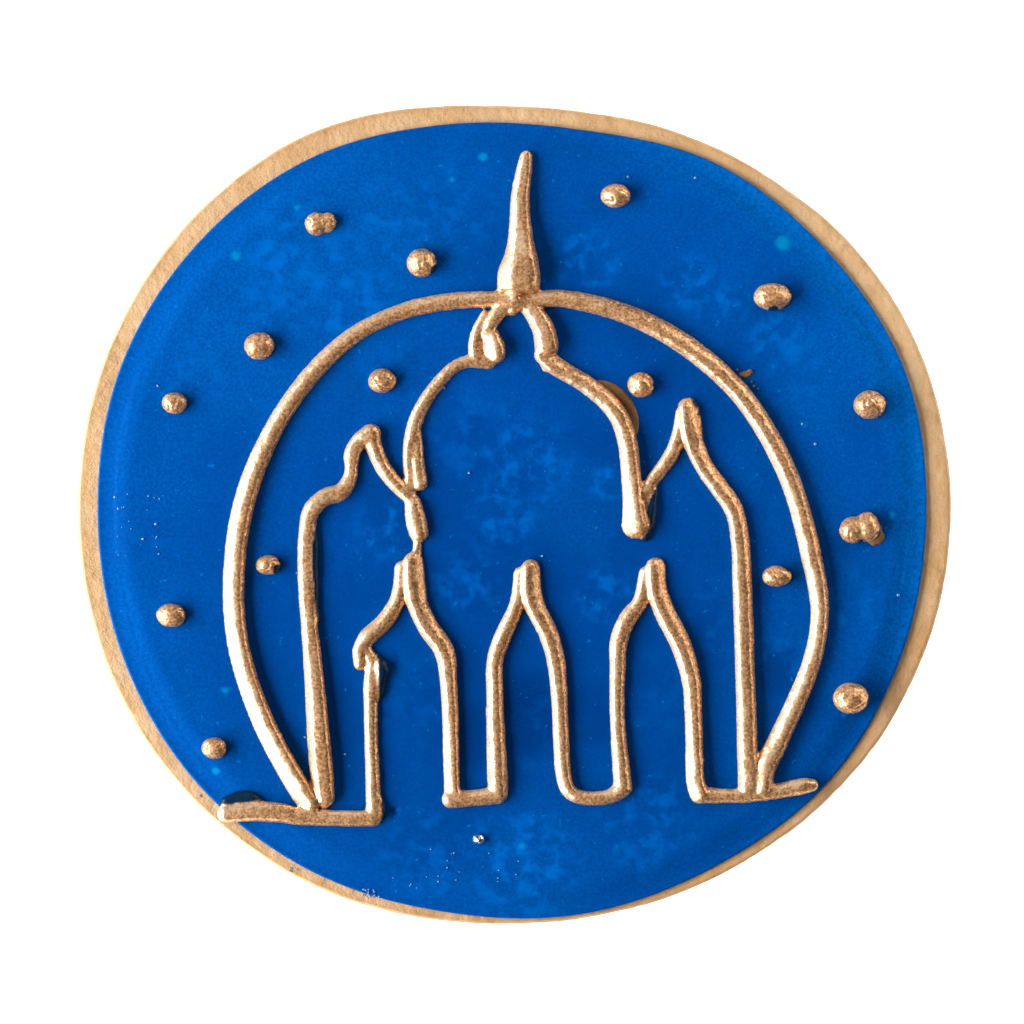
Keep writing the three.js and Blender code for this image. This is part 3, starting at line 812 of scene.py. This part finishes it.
def make_lines():
    """All piped lines melted together, ribbed and grained along their routes, and painted."""
    tubes = [
        tube(line, SECTIONS.get(name, (ROUND, ROUND)), BLUNT_FOOT if name == "spire" else 1)
        for name, line in LINES.items()
    ]
    tubes += [tube(line) for line in BARE_LINES.values()]
    piece = make_piece("piped_lines", *fused(tubes, BEAD_VOXEL, 1))
    points = read(piece, "co")
    centres, along, owner = nearest_on_routes(points)
    offset = points[:, :2] - centres[:, :2]
    half = centres[:, 2] / 2
    across = np.linalg.norm(offset, axis=1) / half
    lift = (points[:, 2] - ICING_TOP) / np.minimum(2 * RISE_PER_WIDTH * half, MAX_RISE)
    lean = offset[:, 0] / half

    ribs_at = np.stack([along, 0.25 * across, 9.0 * owner], axis=1)
    shown = smoothstep(-0.1, 0.3, lift)
    low = smoothstep(0.85, 0.35, lift)
    wobble = 0.06 * noise(points, 1.7, 21) + 0.035 * noise(points, 0.7, 22)
    ribs = 0.014 * noise(ribs_at, 0.3, 23)
    lumps = (0.01 + 0.06 * low) * smoothstep(0.2, 0.7, noise(points, 0.42, 24))
    side = np.clip(across, 0, 1)
    push(piece, shown * (wobble + ribs + lumps) + MELT_LOSS * side)
    hold_inside(piece)

    reached = smoothstep(1.12, 1.02, across + 0.06 * noise(points, 0.5, 33))
    paint = coverage(points, lift, lean, 0.12, 31) * reached * away_from(points, BARE_SPOTS)
    keep(piece, "paint", paint)
    # Painted highlight on the slopes that face the lamps.
    keep(piece, "painted_highlight", painted_highlight_on_slopes(piece))
    piece.data.materials.append(GOLD)
    return piece


def make_dots():
    """The stars, each a lumpy dot, painted like the lines."""
    piece = make_piece("piped_dots", *fused([ball(*dot) for dot in DOTS], DOT_VOXEL, 2))
    points = read(piece, "co")
    centres = np.array(DOTS)
    distances = np.hypot(points[:, 0, None] - centres[:, 0], points[:, 1, None] - centres[:, 1])
    nearest = centres[distances.argmin(axis=1)]
    lean = (points[:, 0] - nearest[:, 0]) / (nearest[:, 2] / 2)
    lift = (points[:, 2] - ICING_TOP) / (RISE_PER_WIDTH * (nearest[:, 2] + nearest[:, 3]) / 2)
    shown = smoothstep(-0.1, 0.3, lift)
    lumps = 0.12 * noise(points, 1.5, 41) + 0.06 * noise(points, 0.8, 42) + 0.015 * noise(points, 0.3, 43)
    creases = -0.09 * smoothstep(0.12, 0, np.abs(noise(points, 1.6, 44)))
    push(piece, shown * (lumps + creases))
    hold_inside(piece)
    keep(piece, "paint", coverage(points, lift, lean, 0.4, 51) * away_from(points, BARE_SPOTS))
    # A weaker painted highlight on the dots' slopes that face the lamps.
    keep(piece, "painted_highlight", DOT_HIGHLIGHT_SHARE * painted_highlight_on_slopes(piece))
    piece.data.materials.append(GOLD)
    return piece


# ---------------------------------------------------------------- small things on the icing


def patch(x, y, half_width, half_length, height, seed):
    """A thin ragged patch lying on the icing."""
    turn = np.linspace(0, 2 * math.pi, 28, endpoint=False)
    edge = np.stack([np.cos(turn), np.sin(turn), np.full(len(turn), 0.37)], axis=1)
    ragged = 1 + 0.35 * noise(edge + 5 * seed, 0.7, seed)
    rings = []
    for share, level in ((0.9, -0.05), (1, 0), (0.92, 0.6), (0.6, 0.9), (0.25, 1)):
        reach = share * ragged
        rings.append(np.stack([
            x + half_width * reach * np.cos(turn),
            y + half_length * reach * np.sin(turn),
            np.full(len(turn), ICING_TOP + level * height),
        ], axis=1))
    return ringed(np.array(rings))


def make_flakes():
    """Flakes of dry paint beside the right arch, and a flat one under the pair of dots on the right."""
    surfaces = [patch(*flake, 0.16, i + 1) for i, flake in enumerate(GOLD_FLAKES)]
    piece = make_piece("paint_flakes", *joined(surfaces))
    points = read(piece, "co")
    push(piece, 0.05 * noise(points, 0.35, 61))
    piece.data.materials.append(SMEAR)


def make_smear_patch():
    """Thin paint brushed over the icing, outside the dome's right shoulder."""
    shoulder = smooth_route(LINES["dome_right"][3:7], 0.15)
    spread = np.sin(np.linspace(0, math.pi, len(shoulder))) ** 0.6
    ahead = np.gradient(shoulder[:, :2], axis=0)
    ahead /= np.linalg.norm(ahead, axis=1)[:, None]
    outward = np.stack([-ahead[:, 1], ahead[:, 0]], axis=1)
    reach = shoulder[:, 2] / 2 - 0.15 + 1.15 * spread
    rings = []
    for share, level in ((0.0, -0.05), (1.0, -0.05), (1.0, 0.03), (0.9, 0.1), (0.0, 0.1)):
        flat = shoulder[:, :2] + outward * (share * reach)[:, None]
        rings.append(np.column_stack([flat, np.full(len(flat), ICING_TOP + level)]))
    strip = np.array(rings).transpose(1, 0, 2)
    piece = make_piece("thin_paint_smear", *ringed(strip))
    piece.data.materials.append(SMEAR)


def make_sugar_ball():
    """A small dented silver ball."""
    piece = make_piece("sugar_ball", *fused([ball(*SUGAR_BALL)], BALL_VOXEL, 1))
    points = read(piece, "co")
    push(piece, 0.09 * noise(points, 0.6, 71))
    piece.data.materials.append(SILVER)


def make_specks():
    """Fine white sugar on the icing and the rim, singly and in sprays."""
    rng = np.random.default_rng(81)
    spots = [(x, y, rng.uniform(0.12, 0.18)) for x, y in WHITE_SPECKS]
    for x, y, half_width, half_height, count in SPRAYS:
        for _ in range(count):
            spots.append((x + half_width * rng.uniform(-1, 1), y + half_height * rng.uniform(-1, 1),
                          rng.uniform(0.06, 0.12)))
    inset = flood_inset(np.array(spots))
    heights = COOKIE_TOP + np.where(inset > 0, flood_rise(inset), 0) + 0.05
    speck = bmesh.new()
    for (x, y, size), height in zip(spots, heights):
        place = Matrix.Translation((x, y, height)) @ Matrix.Diagonal((size, 0.8 * size, 0.6 * size, 1))
        bmesh.ops.create_icosphere(speck, subdivisions=1, radius=1, matrix=place)
    points = np.array([vertex.co[:] for vertex in speck.verts])
    faces = [[vertex.index for vertex in face.verts] for face in speck.faces]
    speck.free()
    piece = make_piece("sugar_specks", points, faces)
    piece.data.materials.append(DUST)


make_cookie()
coat = make_flood_coat()
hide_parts("icing")
make_lines()
make_dots()
make_smear_patch()
make_flakes()
make_sugar_ball()
make_specks()

# ---------------------------------------------------------------- floor, lights and camera


def make_floor():
    half = 1.5
    corners = [(-half, -half, 0), (half, -half, 0), (half, half, 0), (-half, half, 0)]
    mesh = bpy.data.meshes.new("floor")
    mesh.from_pydata(corners, [], [(0, 1, 2, 3)])
    floor = bpy.data.objects.new("floor", mesh)
    bpy.context.scene.collection.objects.link(floor)
    mesh.materials.append(make_paper())


def make_softbox(name, place, length, height, power):
    """A strip light at a place in metres, turned to the object."""
    light = bpy.data.lights.new(name, "AREA")
    light.shape = "RECTANGLE"
    light.size = length
    light.size_y = height
    light.energy = power
    softbox = bpy.data.objects.new(name, light)
    softbox.location = place
    softbox.rotation_euler = (-Vector(place)).to_track_quat("-Z", "Y").to_euler()
    softbox.visible_camera = False
    bpy.context.scene.collection.objects.link(softbox)


def make_world(level):
    world = bpy.data.worlds.new("studio")
    world.use_nodes = True
    world.node_tree.nodes["Background"].inputs["Color"].default_value = (level, level, level, 1)
    bpy.context.scene.world = world


def make_camera():
    """Looks straight down, so that one pixel covers PIXEL at the cookie's top."""
    camera = bpy.data.cameras.new("camera")
    camera.lens = 400
    camera.sensor_width = 36
    field = 1024 * PIXEL * MM
    view = bpy.data.objects.new("camera", camera)
    middle = [(512 - PHOTO_CENTRE[0]) * PIXEL * MM, (PHOTO_CENTRE[1] - 512) * PIXEL * MM]
    view.location = (*middle, COOKIE_TOP * MM + field * camera.lens / camera.sensor_width)
    bpy.context.scene.collection.objects.link(view)
    bpy.context.scene.camera = view


make_floor()
make_softbox("softbox_left", (-0.410, -0.073, 0.197), 0.64, 0.19, 6.0)
make_softbox("softbox_right", (0.16, 0.02, 0.05), 0.12, 0.03, 0.05)
make_softbox("softbox_corner", (0.125, 0.125, 0.07), 0.08, 0.08, 0.09)
make_softbox("softbox_back", (0, 0.30, 0.20), 0.12, 0.4, 0.14)
make_softbox("softbox_above", (0, 0, 0.6), 0.56, 0.56, 0.12)
make_world(0.015)
make_camera()
bpy.context.scene.view_settings.view_transform = "Standard"
